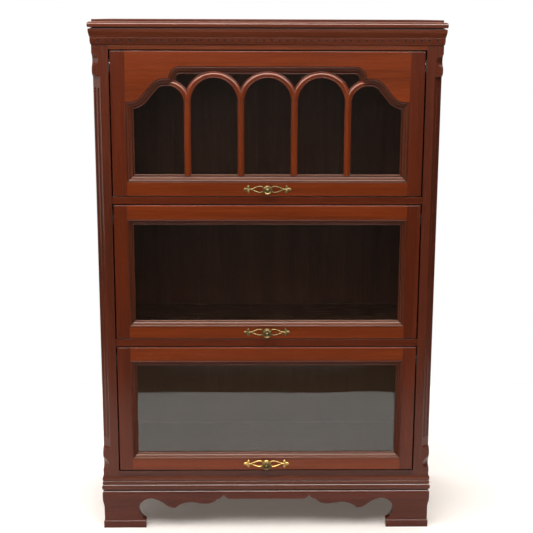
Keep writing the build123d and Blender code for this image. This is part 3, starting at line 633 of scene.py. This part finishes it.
def plate_distance(x, z):
    """Distance to the edge of a pull's pierced backplate: negative inside it."""
    x, z = abs(x), abs(z)
    turn = asin(min(1.0, z / max(hypot(x, z), 1e-6)))
    boss = hypot(x, z) - (BOSS_RADIUS + BOSS_WAVE * cos(8 * turn))
    loop = distance_to_path(x, z, LOOP) - LOOP_HALF_WIDTH
    stem = distance_to_path(x, z, STEM) - STEM_HALF_WIDTH
    collar = hypot((x - COLLAR_X) * COLLAR_SQUEEZE, z) - COLLAR_RADIUS
    tip = leaf_distance(x, z, (46.5, 0), (PLATE_HALF, 0), 8.4)
    barb = leaf_distance(x, z, (49.5, 0.4), (46.2, 10.6), 7.0)
    found = blend_min(boss, loop, 1.2)
    for shape in (stem, collar, tip, barb):
        found = blend_min(found, shape, 1.0)
    return found


def plate_height(inside):
    """The casting's thickness at that distance in from its edge: low there, then domed."""
    return EDGE_THICKNESS + DOME * sin(min(inside / DOME_REACH, 1.0) * pi / 2)


def pull_plate(door, finish):
    """A cast and pierced plate, built as a height field over a fine grid."""
    columns, rows = ceil(PLATE_HALF / CELL) + 2, ceil(PLATE_RISE / CELL) + 2
    points, faces, index = [], [], {}
    values = {(i, j): plate_distance(i * CELL, j * CELL)
              for i in range(-columns, columns + 1) for j in range(-rows, rows + 1)}

    def front(key, x, z, inside):
        """The number of a point on the plate's front. The next number is the point behind it."""
        if key not in index:
            index[key] = len(points)
            rise = plate_height(max(inside, 0.0))
            points.append(Vector((x, door.face - rise, door.pull + z)) * MM)
            points.append(Vector((x, door.face, door.pull + z)) * MM)
        return index[key]

    def crossing(a, b):
        """The point where the plate's edge crosses between two grid points."""
        share = values[a] / (values[a] - values[b])
        x = (a[0] + (b[0] - a[0]) * share) * CELL
        z = (a[1] + (b[1] - a[1]) * share) * CELL
        return front((min(a, b), max(a, b)), x, z, 0.0)

    for i in range(-columns, columns):
        for j in range(-rows, rows):
            corners = [(i, j), (i + 1, j), (i + 1, j + 1), (i, j + 1)]
            within = [values[c] < 0 for c in corners]
            if not any(within):
                continue
            ring, edge = [], []
            for k in range(4):
                here, after = corners[k], corners[(k + 1) % 4]
                if within[k]:
                    ring.append(front(here, here[0] * CELL, here[1] * CELL, -values[here]))
                if within[k] != within[(k + 1) % 4]:
                    ring.append(crossing(here, after))
                    edge.append((ring[-1], within[k]))
            faces.append(tuple(ring))
            faces.append(tuple(p + 1 for p in reversed(ring)))
            if len(edge) == 2:
                first, second = edge[0][0], edge[1][0]
                faces.append((first, second, second + 1, first + 1))
            elif len(edge) == 4:
                for (first, leaves), (second, _) in zip(edge, edge[1:] + edge[:1]):
                    if leaves:
                        faces.append((first, second, second + 1, first + 1))
    return finish_piece(f"pull_plate_{door.name}", points, faces, [finish],
                        f"door_{door.name}", f"door_{door.name}_pull_plate",
                        sharp=50)


def pull_knob(door, finish):
    """A turned knob: a rolled rim round a sunk ring and a small dome, on a waisted stem."""
    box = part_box(f"door_{door.name}_pull_knob")
    back, tip = box[1].y / MM - door.face, box[0].y / MM - door.face
    rose = -1.6                # where the knob meets its plate
    nut = back - 3
    turned = [
        # depth behind the door's face, radius
        (back, 0), (back, 5.2), (back - 0.6, 6), (nut, 6), (nut, 2.5), (rose, 2.5), (rose, 7.6),
        (rose - 0.5, 8.0), (rose - 1.2, 7.8), (rose - 2.2, 6.4), (rose - 3.6, 5.2),
        (rose - 5.4, 4.8), (rose - 7.2, 5.4), (rose - 8.8, 7.2), (rose - 10.0, 9.2),
        *arc((tip + 3.7, 9.3), 2.2, 40, 205, 12),
        (tip + 2.4, 7.0), (tip + 3.2, 6.8), (tip + 3.3, 6.2), (tip + 2.6, 5.9), (tip + 2.3, 5.3),
        (tip + 2.9, 4.7), (tip + 3.0, 4.4),
        *[(tip + 3.0 - 3.0 * sin(radians(t)), 4.3 * cos(radians(t))) for t in range(10, 91, 10)],
    ]
    steps = 48
    points = []
    for depth, radius in turned:
        for k in range(steps):
            t = 2 * pi * k / steps
            points.append(Vector((radius * cos(t), door.face + depth,
                                  door.pull + radius * sin(t))) * MM)
    return finish_piece(f"pull_knob_{door.name}", points, tube_faces(len(turned), steps, False),
                        [finish], f"door_{door.name}", f"door_{door.name}_pull_knob",
                        sharp=35)


PLATE_POLISH, BRIGHT_PLATE_POLISH, KNOB_POLISH = 0.42, 0.38, 0.33

for door in FRAMES.values():
    bright = door.name == BRIGHT_PULL_DOOR
    pull_plate(door, brass("plate_" + door.name, *(BRIGHT_BRASS if bright else DARK_BRASS),
                           BRIGHT_PLATE_POLISH if bright else PLATE_POLISH))
    pull_knob(door, brass("knob_" + door.name, *DARK_BRASS, KNOB_POLISH))


# ---------------------------------------------------------------- studio
FLOOR_GLOW = 0.11              # lifts the shadow under the case, as the photo's bright room does
# What the polish and the panes reflect, from below to above: height, 0 straight down and
# 1 straight up, then colour.
ROOM = ((0.335, (0.34, 0.20, 0.12)), (0.37, (0.07, 0.045, 0.035)), (0.62, (0.14, 0.12, 0.11)))
WARM_WHITE = (1.0, 0.93, 0.86)


def floor(front, back, half_width):
    """A sheet of pale paper under the case. It ends a little in front of the doors."""
    m = Material("paper")
    mottle = m.noise((3, 3, 3), detail=3)
    base = m.ramp(mottle, ((0.3, (0.90, 0.91, 0.93)), (0.7, (0.94, 0.95, 0.96))))
    m.feed(m.shader, {"Base Color": base, "Roughness": 0.7, "Specular IOR Level": 0.25,
                      "Emission Color": (1.0, 0.86, 0.74, 1), "Emission Strength": FLOOR_GLOW})
    mesh = bpy.data.meshes.new("floor")
    mesh.from_pydata([(-half_width, front, 0), (half_width, front, 0), (half_width, back, 0),
                      (-half_width, back, 0)], [], [(0, 1, 2, 3)])
    mesh.materials.append(m.data)
    sheet = bpy.data.objects.new("floor", mesh)
    bpy.context.scene.collection.objects.link(sheet)


def room():
    """White to the camera. What the glass and polish reflect is a dim room instead."""
    world = bpy.data.worlds.new("room")
    bpy.context.scene.world = world
    world.use_nodes = True
    world.node_tree.nodes.clear()
    n = Nodes(world.node_tree)
    split = n.node("SeparateXYZ", {"Vector": n.node("TexCoord").outputs["Generated"]})
    height = n.node("Math", {0: split.outputs["Z"], 1: 0.5, 2: 0.5}, operation="MULTIPLY_ADD")
    dim = n.node("Background", {"Color": n.ramp(height.outputs[0], ROOM)})
    white = n.node("Background", {"Color": (1, 1, 1, 1)})
    chosen = n.node("MixShader", {0: n.node("LightPath").outputs["Is Camera Ray"],
                                  1: dim.outputs[0], 2: white.outputs[0]})
    n.node("OutputWorld", {"Surface": chosen.outputs[0]})


def softbox(name, place, aim, width, height, watts, mirrored=True, lights=True):
    """A lamp of width by height at a place, turned to its aim.

    mirrored lets it show in polish and on glass. lights lets it fall on surfaces and pass
    through the panes: a reflection inside a pane counts as light that passes through it.
    """
    light = bpy.data.lights.new(name, "AREA")
    light.shape = "RECTANGLE"
    light.size, light.size_y = width, height
    light.energy = watts
    light.color = WARM_WHITE
    lamp = bpy.data.objects.new(name, light)
    bpy.context.scene.collection.objects.link(lamp)
    lamp.visible_glossy = mirrored
    lamp.visible_diffuse = lamp.visible_transmission = lights
    lamp.location = place
    lamp.rotation_euler = (Vector(aim) - Vector(place)).to_track_quat("-Z", "Y").to_euler()


def camera(place, yaw, tilt, roll, lens):
    """A camera that looks along +Y, turned right by yaw, down by tilt and then rolled."""
    ahead = Vector((sin(yaw) * cos(tilt), cos(yaw) * cos(tilt), -sin(tilt)))
    level = Vector((cos(yaw), -sin(yaw), 0))
    up = level.cross(ahead)
    right, top = level * cos(roll) + up * sin(roll), up * cos(roll) - level * sin(roll)
    data = bpy.data.cameras.new("camera")
    data.sensor_width = 36
    data.lens = lens
    data.clip_end = 30
    seer = bpy.data.objects.new("camera", data)
    bpy.context.scene.collection.objects.link(seer)
    turned = Matrix((right, top, -ahead)).transposed().to_4x4()
    seer.matrix_world = Matrix.Translation(place) @ turned
    bpy.context.scene.camera = seer


case_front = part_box("post_left")[0].y
floor(front=case_front - 1.07, back=1.0, half_width=1.8)
room()
# The overhead lamp lights the scene unseen, and the strip is only there for the reflections.
softbox("overhead", (-0.3, -1.1, 2.7), (-0.1, -0.6, 0.3), 2.8, 2.2, 103, mirrored=False)
softbox("strip", (-0.1, -2.0, 2.3), (0, -0.2, 0.6), 3.6, 0.8, 330, lights=False)
softbox("left", (-2.8, 0.1, 1.2), (-0.4, -0.1, 0.9), 1.6, 1.8, 16)
softbox("behind", (0.3, 1.0, 2.7), (0.3, 0.9, 0), 3.6, 1.0, 70)
# Fitted to the outline of the case in the photo. Angles are in radians.
camera(place=(-0.04675, -2.95774, 1.33069), yaw=0.016234, tilt=0.219245, roll=0.003605,
       lens=75.935)
bpy.context.scene.view_settings.view_transform = "Standard"
